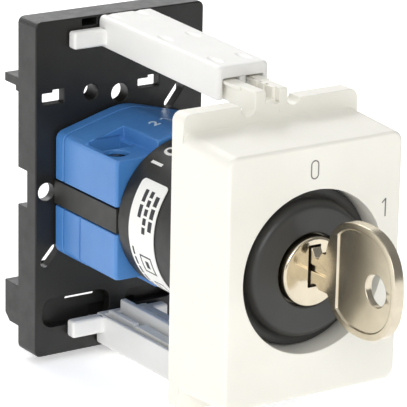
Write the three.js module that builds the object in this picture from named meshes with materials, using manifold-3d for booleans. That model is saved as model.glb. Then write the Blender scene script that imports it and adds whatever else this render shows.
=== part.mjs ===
import * as THREE from 'three';
import { mergeVertices } from 'three/addons/utils/BufferGeometryUtils.js';
import Module from 'manifold-3d';

const wasm = await Module();
wasm.setup();

// ---------------------------------------------------------------- driving sizes (mm)
// X to the right seen from the front, Y back towards the rail, Z up.
// Origin: centre of the plane on which the plate sits against the rail.
const GAP = 0.3;
const HALF_W = 18.0;
const PLATE_HALF_H = 31.9;
const PLATE_FRONT = -6.3;
const PLATE_WEB = 2.0;
const PLATE_RIM = 1.8;
const RAIL_LIP_Z = 17.5;
const HOOK_DEPTH = 4.8;

const COVER_FRONT = -68.2;
const COVER_HALF_W = 17.8;
const COVER_HALF_H = 22.35;
const COVER_ROOT_HALF_H = 23.2;
const FLANGE_FRONT = -54.6;
const FLANGE_BACK = -51.2;
const FLANGE_HALF_H = 26.5;
const COVER_WALL = 1.6;
const COVER_FACE = 2.2;
const HOLE_R = 14.45;
const COLLAR_R = 15.9;
const COLLAR_BACK = -58.0;

const SLEEVE_FRONT = -45.9;
const SLEEVE_HALF_W = 5.3;
const SLEEVE_IN = 4.2;
const SLEEVE_CEILING = 28.9;
// free edge and closed side at the front, then at the rear, measured from the centre,
// left and right side at the rear, inner edge of the middle rib and of the side ribs
const SLEEVE_TOP = [25.2, 31.1, 26.3, 31.9, -4.9, 6.6, 26.6, 26.0];
const SLEEVE_BOTTOM = [24.6, 30.6, 25.0, 31.2, -4.9, 6.0, 22.8, 24.5];
const RIB_END = -16.9;
const PRONG_END = -17.5;
// inner edge of the prongs at the flange and at their ends
const PRONG_EDGE_TOP = [24.9, 25.7];
const PRONG_EDGE_BOTTOM = [24.9, 24.5];
const PRONG_ROOT = 24.3;
const PRONG_Z1 = 28.6;

const BODY_HALF_W = 14.2;
const DOME_TOP = 14.8;
const EAVES = 11.35;
const BODY_BACK = PLATE_FRONT - GAP;
const END_PLATE_FRONT = -9.7;
const BODY_REAR = END_PLATE_FRONT - GAP;
const BODY_FRONT = -27.9;
const STRAP_HALF_H = 2.24;
const DECK_Y = -23.3;

const DRUM_R = 14.1;
const DRUM_BACK = BODY_FRONT + GAP - 0.6;
const DRUM_SPLIT = -45.9;
const SHELL_FRONT = -62.0;
const BEZEL_STEP = -64.2;
const BEZEL_FRONT = -67.1;
const PLATEAU_R = 11.7;

const PLUG_R = 5.5;
const PLUG_HEAD_R = 6.15;
const PLUG_BACK = -43.2;
const BARREL_R = 8.6;

const CAM_HIGH = 6.6;
const CONTACT_LIFT = 1.45;
const KEY_TURN_DEG = 60;

const KEY_HALF_T = 0.95;
const BOW_HALF_L = 9.7;
const BOW_HALF_W = 9.7;
const BOW_Y = -82.1;
const BOW_Z = 2.5;
const BOW_START = -73.6;
const BLADE_Z = 1.1;
const BLADE_HALF_W = 3.4;
const BLADE_TIP = -47.2;
const KEY_HOLE_Y = -86.2;
const KEY_HOLE_Z = 2.0;
const KEY_HOLE_R = 2.75;

// ---------------------------------------------------------------- solid helpers
function solid(geometry) {
  const g = geometry.clone();
  g.deleteAttribute('normal');
  g.deleteAttribute('uv');
  const m = mergeVertices(g, 1e-5);
  const mesh = new wasm.Mesh({
    numProp: 3,
    vertProperties: new Float32Array(m.attributes.position.array),
    triVerts: new Uint32Array(m.index.array),
  });
  mesh.merge();
  return new wasm.Manifold(mesh);
}

function geometryOf(manifold) {
  const mesh = manifold.getMesh();
  const g = new THREE.BufferGeometry();
  g.setAttribute('position', new THREE.BufferAttribute(mesh.vertProperties, 3));
  g.setIndex(new THREE.BufferAttribute(mesh.triVerts, 1));
  const flat = g.toNonIndexed();
  flat.computeVertexNormals();
  return flat;
}

function box(x0, x1, y0, y1, z0, z1) {
  const a = Math.min(x0, x1);
  const b = Math.max(x0, x1);
  const c = Math.min(y0, y1);
  const d = Math.max(y0, y1);
  const e = Math.min(z0, z1);
  const f = Math.max(z0, z1);
  const g = new THREE.BoxGeometry(b - a, d - c, f - e);
  g.translate((a + b) / 2, (c + d) / 2, (e + f) / 2);
  return solid(g);
}

function cylY(r, y0, y1, x = 0, z = 0, seg = 48, rFront = r) {
  const a = Math.min(y0, y1);
  const b = Math.max(y0, y1);
  const g = new THREE.CylinderGeometry(r, rFront, b - a, seg);
  g.translate(x, (a + b) / 2, z);
  return solid(g);
}

function cylZ(r, z0, z1, x = 0, y = 0, seg = 32) {
  const a = Math.min(z0, z1);
  const b = Math.max(z0, z1);
  const g = new THREE.CylinderGeometry(r, r, b - a, seg);
  g.rotateX(Math.PI / 2);
  g.translate(x, y, (a + b) / 2);
  return solid(g);
}

function cylX(r, x0, x1, y = 0, z = 0, seg = 32) {
  const a = Math.min(x0, x1);
  const b = Math.max(x0, x1);
  const g = new THREE.CylinderGeometry(r, r, b - a, seg);
  g.rotateZ(Math.PI / 2);
  g.translate((a + b) / 2, y, z);
  return solid(g);
}

function shapeOf(points, holes = []) {
  const shape = new THREE.Shape(points.map((p) => new THREE.Vector2(p[0], p[1])));
  for (const hole of holes) {
    shape.holes.push(new THREE.Path(hole.map((p) => new THREE.Vector2(p[0], p[1]))));
  }
  return shape;
}

function extrudeY(points, y0, y1) {
  const g = new THREE.ExtrudeGeometry(shapeOf(points), { depth: y1 - y0, bevelEnabled: false });
  g.rotateX(Math.PI / 2);
  g.translate(0, y1, 0);
  return solid(g);
}

function extrudeX(points, x0, x1) {
  const g = new THREE.ExtrudeGeometry(shapeOf(points), { depth: x1 - x0, bevelEnabled: false });
  const basis = new THREE.Matrix4().makeBasis(
    new THREE.Vector3(0, 1, 0),
    new THREE.Vector3(0, 0, 1),
    new THREE.Vector3(1, 0, 0),
  );
  g.applyMatrix4(basis);
  g.translate(x0, 0, 0);
  return solid(g);
}

// rounded rectangle in the X-Z plane, counter-clockwise
function roundRect(hx, hz, r, n = 4) {
  const points = [];
  const corners = [[1, 1, 0], [-1, 1, 90], [-1, -1, 180], [1, -1, 270]];
  for (const [sx, sz, start] of corners) {
    for (let i = 0; i <= n; i += 1) {
      const a = THREE.MathUtils.degToRad(start + (90 * i) / n);
      points.push([sx * (hx - r) + r * Math.cos(a), sz * (hz - r) + r * Math.sin(a)]);
    }
  }
  return points;
}

// closed skin through rings of equal point count, each ring at its own Y
function loftY(rings) {
  const n = rings[0].ring.length;
  const position = [];
  const index = [];
  for (const level of rings) {
    for (const p of level.ring) {
      position.push(p[0], level.y, p[1]);
    }
  }
  for (let k = 0; k + 1 < rings.length; k += 1) {
    for (let i = 0; i < n; i += 1) {
      const j = (i + 1) % n;
      const a = k * n + i;
      const b = k * n + j;
      const c = a + n;
      const d = b + n;
      index.push(a, b, c, b, d, c);
    }
  }
  const last = (rings.length - 1) * n;
  for (let i = 1; i + 1 < n; i += 1) {
    index.push(0, i + 1, i);
    index.push(last, last + i, last + i + 1);
  }
  for (let t = 0; t < index.length; t += 3) {
    const swap = index[t + 1];
    index[t + 1] = index[t + 2];
    index[t + 2] = swap;
  }
  const g = new THREE.BufferGeometry();
  g.setAttribute('position', new THREE.Float32BufferAttribute(position, 3));
  g.setIndex(index);
  const m = solid(g);
  return m.volume() < 0 ? solidFlipped(g) : m;
}

function solidFlipped(g) {
  const flipped = g.clone();
  const idx = flipped.index.array;
  for (let t = 0; t < idx.length; t += 3) {
    const swap = idx[t + 1];
    idx[t + 1] = idx[t + 2];
    idx[t + 2] = swap;
  }
  return solid(flipped);
}

function helixSpring(x, y, z0, z1, radius, wire, turns) {
  class Helix extends THREE.Curve {
    getPoint(t, target = new THREE.Vector3()) {
      const a = t * turns * 2 * Math.PI;
      const z = z0 + wire + (z1 - z0 - 2 * wire) * t;
      return target.set(x + radius * Math.cos(a), y + radius * Math.sin(a), z);
    }
  }
  const section = new THREE.Shape();
  section.absarc(0, 0, wire, 0, 2 * Math.PI, false);
  const g = new THREE.ExtrudeGeometry(section, {
    steps: Math.round(turns * 11),
    curveSegments: 3,
    extrudePath: new Helix(),
    bevelEnabled: false,
  });
  return solid(g);
}

function join(list) {
  return list.reduce((a, b) => a.add(b));
}

function cut(base, list) {
  return list.reduce((a, b) => a.subtract(b), base);
}

const group = new THREE.Group();
group.name = 'selector_key_switch';

function add(name, manifold, colour, roughness = 0.5, metalness = 0) {
  const material = new THREE.MeshStandardMaterial({ color: colour, roughness, metalness });
  const mesh = new THREE.Mesh(geometryOf(manifold), material);
  mesh.name = name;
  group.add(mesh);
}

const CREAM = 0xeeece1;
const COOL = 0xe9eaea;
const BLACK = 0x2c2c2a;
const BLUE = 0x4f8fcf;
const NICKEL = 0xcdc3aa;
const BRASS = 0xc9a24a;
const STEEL = 0xa9abad;
const SILVER = 0xd8d8d4;

// ---------------------------------------------------------------- base plate
function basePlate() {
  const outer = loftY([
    { y: PLATE_FRONT, ring: roundRect(HALF_W - 0.15, PLATE_HALF_H - 0.15, 1.1) },
    { y: PLATE_FRONT + 0.15, ring: roundRect(HALF_W, PLATE_HALF_H, 1.2) },
    { y: 0, ring: roundRect(HALF_W, PLATE_HALF_H, 1.2) },
  ]);
  const webBack = PLATE_FRONT + PLATE_WEB;
  const inX = HALF_W - PLATE_RIM;
  const inZ = PLATE_HALF_H - PLATE_RIM;
  let body = outer.subtract(box(-inX, inX, webBack, 0.5, -inZ, inZ));
  const solids = [box(-7, 7, webBack - 0.2, 0, -5.5, 5.5)];
  for (const s of [-1, 1]) {
    solids.push(box(s * 8.6, s * 9.8, webBack - 0.2, 0, -15.5, 12.4));
    // fixed blocks beside the sliding latch
    solids.push(extrudeX(
      [[-0.6, -19.5], [HOOK_DEPTH, -19.5], [HOOK_DEPTH, -26.0], [HOOK_DEPTH - 1.6, -27.4], [-0.6, -27.4]],
      s > 0 ? 12.3 : -HALF_W,
      s > 0 ? HALF_W : -12.3,
    ));
  }
  // upper rail hook: bar over the rail edge and a nose behind its lip
  solids.push(box(-HALF_W, HALF_W, -2.0, HOOK_DEPTH, 18.75, 20.4));
  solids.push(extrudeX(
    [[1.5, 19.0], [1.5, 16.9], [2.2, 16.2], [HOOK_DEPTH, 18.1], [HOOK_DEPTH, 19.0]],
    -13.2,
    13.2,
  ));
  for (const s of [-1, 1]) {
    solids.push(box(s * (HALF_W - 1.2), s * HALF_W, -0.6, 0.9, RAIL_LIP_Z + GAP, 18.9));
  }
  // bosses behind the two round holes of the web
  solids.push(cylY(2.3, webBack - 0.2, -2.5, -6.3, 17.65, 28));
  solids.push(cylY(2.6, webBack - 0.2, -3.5, -0.1, 16.65, 28));
  body = join([body, ...solids]);
  const cuts = [];
  // openings of the web
  for (const [x, z, h] of [[-16.6, 16.45, 2.1], [3.8, 16.85, 1.85]]) {
    cuts.push(box(x, x + 4.6, -7, -2.05, z, z + h));
    cuts.push(box(x + 2.2, x + 4.6, -7, -2.05, z, z + h + 0.5));
    // gap of the hook nose behind the slot
    cuts.push(box(x + 4.9, x + 11.3, 1.4, HOOK_DEPTH + 0.5, 16, 18.7));
  }
  cuts.push(cylY(1.5, -7, -1.9, -6.3, 17.65, 24));
  cuts.push(cylY(1.8, -7, -1.9, -0.1, 16.65, 24));
  for (const s of [-1, 1]) {
    cuts.push(cylY(1.7, -7, -2.2, s * 15.7, 0, 24));
    cuts.push(box(s * 15.9, s * (HALF_W + 1), -3.2, 0.5, -3.5, 3.5));
    // slots for the clips of the two sleeves
    cuts.push(box(-3.9, 3.9, -7, -4.0, s * 26.9, s * 29.3));
    // plate screws
    cuts.push(cylY(1.6, -7, -3.9, 0, s * 9.5, 24));
  }
  cuts.push(diagonal(11.75, 14.65, 52, 2.8, 1.0));
  cuts.push(diagonal(-14.9, -12.4, 48, 2.5, 0.95));
  // windows over the latch
  cuts.push(windowCut(-16.5, -1.9, -26.4, -20.8, 2.2));
  cuts.push(windowCut(1.6, 12.0, -24.7, -21.6, 1.3));
  // notch in the lower rim for the foot of the latch
  cuts.push(box(-4.0, 4.0, -2.8, 0.5, -PLATE_HALF_H - 1, -29.0));
  // small window above the left ear of the upper sleeve
  cuts.push(box(-8.3, -5.2, -7, -2.1, 30.2, 31.5));
  return cut(body, cuts);
}

// opening of the web with round corners
function windowCut(x0, x1, z0, z1, r) {
  const ring = roundRect((x1 - x0) / 2, (z1 - z0) / 2, r);
  const points = ring.map((p) => [p[0] + (x0 + x1) / 2, p[1] + (z0 + z1) / 2]);
  return extrudeY(points, -7, -4.0);
}

// short slot with round ends in the web, turned by deg from +X towards +Z
function diagonal(x, z, deg, halfLength, halfWidth) {
  const a = THREE.MathUtils.degToRad(deg);
  const points = [];
  for (const [side, start] of [[1, -90], [-1, 90]]) {
    for (let i = 0; i <= 8; i += 1) {
      const t = THREE.MathUtils.degToRad(start + (180 * i) / 8);
      const u = side * (halfLength - halfWidth) + halfWidth * Math.cos(t);
      const v = halfWidth * Math.sin(t);
      points.push([x + u * Math.cos(a) - v * Math.sin(a), z + u * Math.sin(a) + v * Math.cos(a)]);
    }
  }
  return extrudeY(points, -7, -3.9);
}
add('base_plate', basePlate(), BLACK, 0.55);

// ---------------------------------------------------------------- rail latch
const LATCH_TOP = -19.0;
const LATCH_BOTTOM = -26.9;
function railLatch() {
  const parts = [
    box(-15.3, 15.3, -3.9, -0.9, LATCH_BOTTOM, LATCH_TOP),
    box(-11.9, 11.9, -1.2, 4.5, LATCH_BOTTOM, LATCH_TOP),
    extrudeX(
      [[1.5, LATCH_TOP - 0.5], [4.5, LATCH_TOP - 0.5], [4.5, -18.2], [2.2, -16.2], [1.5, -16.9]],
      -11.9,
      11.9,
    ),
    box(-3.5, 3.5, -2.3, 1.6, LATCH_BOTTOM - 6.1, LATCH_BOTTOM + 0.5),
  ];
  const cuts = [
    box(-5.0, 5.0, -4.5, -2.7, LATCH_BOTTOM - 1, -24.2),
    box(-1.9, 1.9, -3.0, 2.0, LATCH_BOTTOM - 5.2, LATCH_BOTTOM - 4.0),
  ];
  for (const s of [-1, 1]) {
    cuts.push(box(s * 6.1, s * 9.9, -2.9, 0.9, LATCH_BOTTOM - 1, -24.9));
    cuts.push(box(s * 3.6, s * 11.9, 0.9, 5, LATCH_BOTTOM - 1, -26.2));
  }
  // slit of the tongue seen in the plate window, opening out towards the rail
  cuts.push(extrudeX([[-4.5, -21.7], [-4.5, -21.98], [-2.9, -22.63], [-2.9, -22.1]], -10.2, -3.7));
  cuts.push(extrudeX([[-3.0, -22.0], [-3.0, -22.7], [5.2, -25.8], [5.2, -24.4]], -10.2, 2.4));
  return cut(join(parts), cuts);
}
add('rail_latch', railLatch(), 0x343432, 0.5);
add('latch_spring_left', helixSpring(-8.0, -1.0, -29.9, -25.2, 1.3, 0.22, 3.5), STEEL, 0.3, 0.9);
add('latch_spring_right', helixSpring(8.0, -1.0, -29.9, -25.2, 1.3, 0.22, 3.5), STEEL, 0.3, 0.9);

// ---------------------------------------------------------------- sleeves
function sleeveRing(left, right, free, closed, s) {
  const r = 0.7;
  const points = [[left, s * free], [right, s * free]];
  for (const [cx, start] of [[right - r, 0], [left + r, 90]]) {
    for (let i = 0; i <= 4; i += 1) {
      const a = THREE.MathUtils.degToRad(start + (90 * i) / 4);
      points.push([cx + r * Math.cos(a), s * (closed - r + r * Math.sin(a))]);
    }
  }
  return s > 0 ? points : points.reverse();
}

function sleeve(s, levels, earHigh, earLow) {
  const back = PLATE_FRONT - GAP;
  const [free0, closed0, free1, closed1, left1, right1, middleEdge, sideEdge] = levels;
  const half0 = SLEEVE_HALF_W;
  const slope = (closed1 - closed0) / (back - SLEEVE_FRONT);
  const early = SLEEVE_FRONT + 0.5;
  let body = loftY([
    { y: SLEEVE_FRONT, ring: sleeveRing(0.5 - half0, half0 - 0.5, free0, closed0 - 0.25, s) },
    { y: early, ring: sleeveRing(-half0, half0, free0, closed0, s) },
    { y: back, ring: sleeveRing(left1, right1, free1, closed1, s) },
  ]);
  body = body.subtract(box(
    -SLEEVE_IN, SLEEVE_IN, SLEEVE_FRONT - 1, back - 1.6, s * 24, s * SLEEVE_CEILING,
  ));
  const root = s * (SLEEVE_CEILING + 0.5);
  const parts = [
    box(-0.62, 0.72, SLEEVE_FRONT + 0.1, back - 1, s * 26.6, root),
    box(-0.62, 0.72, -44.0, back - 1, s * middleEdge, root),
    // ribs on which the prongs come to rest
    box(-3.1, -1.9, RIB_END, back - 1, s * sideEdge, root),
    box(1.8, 2.9, RIB_END, back - 1, s * sideEdge, root),
  ];
  // ears that lie on the plate
  parts.push(box(-11.4, -4.6, back - 2.3, back, s * earLow, s * earHigh));
  parts.push(box(5.0, 9.6, back - 2.3, back, s * earLow, s * (earHigh + 0.4)));
  // clip through the plate
  parts.push(box(-3.5, 3.5, back - 0.5, -3.3, s * 27.2, s * 28.8));
  parts.push(extrudeY(
    [[-4.4, s * 27.2], [4.4, s * 27.2], [4.4, s * 28.8], [-4.4, s * 28.8]], -3.95, -3.3,
  ));
  body = join([body, ...parts]);
  const cuts = [];
  for (const t of [-1, 1]) {
    for (const y of [-8.4, -25.8, -41.6]) {
      const z = closed0 + slope * (y - SLEEVE_FRONT);
      cuts.push(dimple(t * 2.9, y, s * (z + 0.25)));
    }
  }
  return cut(body, cuts);
}

function dimple(x, y, z) {
  const g = new THREE.SphereGeometry(1, 8, 4);
  g.scale(0.9, 2.1, 0.6);
  g.translate(x, y, z);
  return solid(g);
}
add('sleeve_top', sleeve(1, SLEEVE_TOP, 29.8, 26.6), COOL, 0.42);
add('sleeve_bottom', sleeve(-1, SLEEVE_BOTTOM, 28.5, 25.2), COOL, 0.42);

// ---------------------------------------------------------------- front cover
function frontCover() {
  const face = COVER_FRONT;
  const outer = loftY([
    { y: face, ring: roundRect(COVER_HALF_W - 0.65, COVER_HALF_H - 0.65, 1.5) },
    { y: face + 0.2, ring: roundRect(COVER_HALF_W - 0.2, COVER_HALF_H - 0.2, 1.8) },
    { y: face + 0.65, ring: roundRect(COVER_HALF_W, COVER_HALF_H, 2.0) },
    { y: FLANGE_FRONT + 0.3, ring: roundRect(HALF_W, COVER_ROOT_HALF_H, 2.0) },
  ]);
  const flange = loftY([
    { y: FLANGE_FRONT, ring: roundRect(HALF_W, FLANGE_HALF_H - 0.3, 1.5) },
    { y: FLANGE_FRONT + 0.3, ring: roundRect(HALF_W, FLANGE_HALF_H, 1.6) },
    { y: FLANGE_BACK, ring: roundRect(HALF_W, FLANGE_HALF_H, 1.6) },
  ]);
  const hollow = loftY([
    { y: face + COVER_FACE, ring: roundRect(15.9, 20.7, 1.2) },
    { y: FLANGE_BACK + 0.5, ring: roundRect(16.4, 21.5, 1.2) },
  ]);
  let body = outer.add(flange).subtract(hollow);
  body = body.add(cylY(COLLAR_R, face + 0.8, COLLAR_BACK, 0, 0, 64));
  const prongs = [];
  const cuts = [cylY(HOLE_R, face - 1, COLLAR_BACK + 1, 0, 0, 72)];
  for (const s of [-1, 1]) {
    prongs.push(...plainProng(s), ...catchProng(s));
    cuts.push(roundSlot(-6.3, -3.5, 24.5, s), roundSlot(3.1, 5.8, 25.3, s));
    cuts.push(box(0.4, 1.5, FLANGE_FRONT - 1, FLANGE_FRONT + 1.3, s * 26.0, s * 28));
  }
  body = cut(body, cuts);
  return join([body, ...prongs]);
}

// slot with a round bottom in the flange beside a prong
function roundSlot(x0, x1, low, s) {
  const r = (x1 - x0) / 2;
  const points = [[x1, s * 28], [x0, s * 28]];
  for (let i = 0; i <= 8; i += 1) {
    const a = (Math.PI * i) / 8;
    points.push([(x0 + x1) / 2 - r * Math.cos(a), s * (low + r * (1 - Math.sin(a)))]);
  }
  return extrudeY(s > 0 ? points.reverse() : points, FLANGE_FRONT - 1, FLANGE_BACK + 1);
}

// side outline of a prong: square shoulder at the flange, rounded end in the sleeve
function prongSide(s, front) {
  const [edge0, edge1] = s > 0 ? PRONG_EDGE_TOP : PRONG_EDGE_BOTTOM;
  const side = [
    [front, PRONG_ROOT], [front, PRONG_Z1 - 0.5], [front + 0.15, PRONG_Z1 - 0.15],
    [front + 0.5, PRONG_Z1], [PRONG_END - 0.6, PRONG_Z1], [PRONG_END, PRONG_Z1 - 0.6],
    [PRONG_END, edge1 + 0.5], [PRONG_END - 0.6, edge1], [-49.9, edge0], [-51.3, PRONG_ROOT],
  ];
  const points = side.map((p) => [p[0], s * p[1]]);
  return s > 0 ? points.reverse() : points;
}

// left tongue with a lip along its upper edge
function plainProng(s) {
  return [
    extrudeX(prongSide(s, FLANGE_FRONT + 0.05), -3.5, -1.25),
    box(-4.0, -1.3, -52.0, PRONG_END - 1, s * (PRONG_Z1 - 0.7), s * PRONG_Z1),
  ];
}

// right tongue with a stepped front and two catch teeth on its inner side
function catchProng(s) {
  const parts = [
    extrudeX(prongSide(s, FLANGE_FRONT + 0.05), 1.5, 3.1),
    extrudeX(prongSide(s, FLANGE_FRONT + 1.35), 1.4, 1.6),
    box(1.45, 3.6, -48.6, PRONG_END - 1, s * (PRONG_Z1 - 0.7), s * PRONG_Z1),
  ];
  for (const [y0, y1] of [[-53.25, -51.3], [-50.5, -49.5], [-48.3, -47.2]]) {
    parts.push(box(0.95, 1.6, y0, y1, s * (y0 < -51 ? 25.6 : 27.2), s * (PRONG_Z1 - 0.05)));
  }
  return parts;
}
add('front_cover', frontCover(), CREAM, 0.45);

// ---------------------------------------------------------------- blue contact block
// roof-shaped outline: upright sides, rounded eaves, straight slopes and a soft ridge
function domeOutline(shrink = 0) {
  const hx = BODY_HALF_W - shrink;
  const half = [
    [hx, 0.9 * (EAVES - 1.0 - shrink)], [hx, EAVES - 1.0 - shrink], [hx - 0.3, EAVES - 0.3 - shrink],
    [hx - 1.0, EAVES + 0.25 - shrink], [9.0, 12.75 - shrink], [5.0, 13.85 - shrink],
    [2.4, 14.5 - shrink], [1.0, DOME_TOP - 0.07 - shrink], [0, DOME_TOP - shrink],
  ];
  const left = half.slice(0, -1).reverse().map((p) => [-p[0], p[1]]);
  const top = [...half, ...left];
  const bottom = top.map((p) => [-p[0], -p[1]]);
  return [...top, ...bottom];
}

function rearEndPlate() {
  const body = loftY([
    { y: BODY_BACK, ring: domeOutline(0.5) },
    { y: BODY_BACK - 0.5, ring: domeOutline(0) },
    { y: END_PLATE_FRONT, ring: domeOutline(0) },
  ].reverse());
  const cuts = [cylY(3.05, -6, -10.5, 0, 0, 32)];
  for (const s of [-1, 1]) {
    cuts.push(box(s * 12.9, s * 15, -6, -10.5, -2.54, 2.54));
    cuts.push(box(s * 11.2, s * 15, -6, -7.9, -2.54, 2.54));
    cuts.push(cylY(1.6, -6, -9.2, 0, s * 9.5, 24));
  }
  return cut(body, cuts);
}
add('rear_end_plate', rearEndPlate(), BLUE, 0.4);

function contactHousing() {
  const rings = [
    { y: BODY_FRONT, ring: domeOutline(0.35) },
    { y: BODY_FRONT + 0.35, ring: domeOutline(0) },
    { y: BODY_REAR, ring: domeOutline(0) },
  ];
  const body = loftY(rings);
  const d = DECK_Y;
  const cuts = [
    cylY(6.95, -26.4, -9.5, 0, 0, 48),
    cylY(3.1, -29, -26, 0, 0, 32),
    // seam line of the lower half
    cut(extrudeY(domeOutline(-1), -15.75, -15.4), [
      extrudeY(domeOutline(0.35), -15.8, -15.3),
      box(-16, 16, -17, -14, 0, 20),
    ]),
  ];
  for (const sz of [-1, 1]) {
    cuts.push(box(-4.9, 4.9, d - 2.4, d + 2.4, sz * 5.0, sz * 13.4));
    for (const sx of [-1, 1]) {
      // open corner beside the dome
      cuts.push(box(sx * 5.6, sx * 15, -29, -16.6, sz * 11.1, sz * 17));
      // screw shaft
      cuts.push(cylZ(2.2, sz * 4.2, sz * 13, sx * 11.3, d, 28));
      // bed of contact strip and clamp
      cuts.push(box(sx * 2.2, sx * 13.35, d - 2.2, d + 2.2, sz * 6.6, sz * 8.8));
      // wire funnel
      cuts.push(box(sx * 6.4, sx * 12.8, -20.8, -16.4, sz * 6.6, sz * 12.0));
      cuts.push(box(sx * 6.7, sx * 12.5, -22.0, -20.0, sz * 6.6, sz * 8.8));
      // room for the clamp to rise
      cuts.push(box(sx * 9.0, sx * 13.35, d - 2.2, d + 2.2, sz * 6.6, sz * 9.9));
    }
  }
  for (const s of [-1, 1]) {
    cuts.push(box(s * 12.9, s * 15, -29, -9, -2.54, 2.54));
  }
  return cut(body, cuts);
}
add('contact_housing', contactHousing(), BLUE, 0.4);

function strap(s) {
  const parts = [
    box(s * 13.2, s * BODY_HALF_W, -6.6, BODY_FRONT, -STRAP_HALF_H, STRAP_HALF_H),
    box(s * 11.5, s * 13.4, -6.6, -7.6, -STRAP_HALF_H, STRAP_HALF_H),
    box(s * 13.2, s * 13.75, -27.0, -30.4, -1.6, 1.6),
    box(s * 12.75, s * 13.4, -29.8, -30.4, -1.6, 1.6),
  ];
  return join(parts);
}
add('strap_left', strap(-1), 0x3a3a37, 0.5);
add('strap_right', strap(1), 0x3a3a37, 0.5);

function panScrewY(z) {
  const head = cylY(2.3, -3.7, -2.1, 0, z, 28);
  const shank = cylY(1.25, -8.8, -3.5, 0, z, 20);
  const cross = join([
    box(-1.3, 1.3, -2.8, -1.9, z - 0.3, z + 0.3),
    box(-0.3, 0.3, -2.8, -1.9, z - 1.3, z + 1.3),
  ]);
  return head.add(shank).subtract(cross);
}
add('plate_screw_top', panScrewY(9.5), STEEL, 0.3, 0.9);
add('plate_screw_bottom', panScrewY(-9.5), STEEL, 0.3, 0.9);

// ---------------------------------------------------------------- terminals
const corners = [[-1, 1], [1, 1], [-1, -1], [1, -1]];
corners.forEach(([sx, sz], i) => {
  const d = DECK_Y;
  const n = i + 1;
  const strip = box(sx * 2.5, sx * 13.0, d - 1.9, d + 1.9, sz * 6.9, sz * 7.5)
    .add(box(sx * 7.0, sx * 12.2, d + 1.5, -16.8, sz * 6.9, sz * 7.5))
    .add(box(sx * 7.1, sx * 12.1, -20.5, -16.9, sz * 7.3, sz * 7.6));
  const hole = cylZ(1.6, sz * 6, sz * 9, sx * 11.3, d, 20);
  add(`fixed_contact_${n}`, strip.subtract(hole), BRASS, 0.3, 0.9);
  const clamp = box(sx * 9.3, sx * 13.05, d - 1.9, d + 1.9, sz * 7.8, sz * 8.5);
  add(`clamp_plate_${n}`, clamp.subtract(hole), STEEL, 0.35, 0.9);
  const head = cylZ(1.9, sz * 8.8, sz * 10.4, sx * 11.3, d, 24);
  const shank = cylZ(1.25, sz * 4.6, sz * 9.0, sx * 11.3, d, 20);
  const slot = box(sx * 11.3 - 2.2, sx * 11.3 + 2.2, d - 0.3, d + 0.3, sz * 9.8, sz * 11);
  add(`terminal_screw_${n}`, head.add(shank).subtract(slot), STEEL, 0.3, 0.9);
});

// ---------------------------------------------------------------- contact carriers
function carrier(s) {
  const d = DECK_Y;
  const tip = s * (CAM_HIGH + 0.25);
  const wedge = extrudeY(
    [[-1.6, s * 7.6], [-0.5, tip], [0.5, tip], [1.6, s * 7.6], [1.6, s * 11.0], [-1.6, s * 11.0]],
    d - 2.0,
    d + 2.0,
  );
  return wedge.subtract(box(-3, 3, d - 1.5, d + 1.5, s * 9.15, s * 10.5));
}

function bridge(s) {
  const d = DECK_Y;
  const parts = [box(-4.4, 4.4, d - 1.2, d + 1.2, s * 9.45, s * 10.2)];
  for (const t of [-1, 1]) {
    parts.push(cylZ(0.75, s * 9.15, s * 9.6, t * 3.45, d, 16));
  }
  return join(parts);
}
for (const [name, s] of [['top', 1], ['bottom', -1]]) {
  add(`contact_carrier_${name}`, carrier(s), 0xd9d4c4, 0.5);
  add(`contact_bridge_${name}`, bridge(s), SILVER, 0.25, 0.9);
  const lo = s > 0 ? 11.25 : -13.15;
  const hi = s > 0 ? 13.15 : -11.25;
  add(`contact_spring_${name}`, helixSpring(0, DECK_Y, lo, hi, 1.25, 0.17, 3.5), STEEL, 0.3, 0.9);
}

// ---------------------------------------------------------------- turning train
// the two followers sink at one constant rate while the key turns from 0 to 1
function camRadius(deg) {
  const a = ((deg % 180) + 180) % 180;
  const low = CAM_HIGH - CONTACT_LIFT;
  if (a < 8) {
    return CAM_HIGH;
  }
  if (a < 112) {
    return CAM_HIGH - (CONTACT_LIFT * (a - 8)) / 104;
  }
  if (a < 180 - KEY_TURN_DEG) {
    return low;
  }
  return low + (CONTACT_LIFT * (a - (180 - KEY_TURN_DEG))) / KEY_TURN_DEG;
}

function camRotor() {
  const points = [];
  for (let a = 360; a > 0; a -= 5) {
    const r = camRadius(a);
    const t = THREE.MathUtils.degToRad(a);
    points.push([r * Math.sin(t), r * Math.cos(t)]);
  }
  const body = join([
    extrudeY(points, DECK_Y - 2.1, DECK_Y + 2.1),
    cylY(3.9, -26.1, -10.3, 0, 0, 32),
    cylY(2.7, -10.5, -7.2, 0, 0, 28),
  ]);
  return body.subtract(box(-2.3, 2.3, -27, -10.9, -2.3, 2.3));
}
add('cam_rotor', camRotor(), 0x8f8f8a, 0.5);

function driveShaft() {
  const cup = cylY(5.0, -42.6, -38.6, 0, 0, 36);
  const slot = box(-1.6, 1.6, -43, -40.2, -6, 6);
  const rod = box(-2.0, 2.0, -39.0, -11.2, -2.0, 2.0);
  return cup.subtract(slot).add(rod);
}
add('drive_shaft', driveShaft(), STEEL, 0.3, 0.9);

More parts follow.
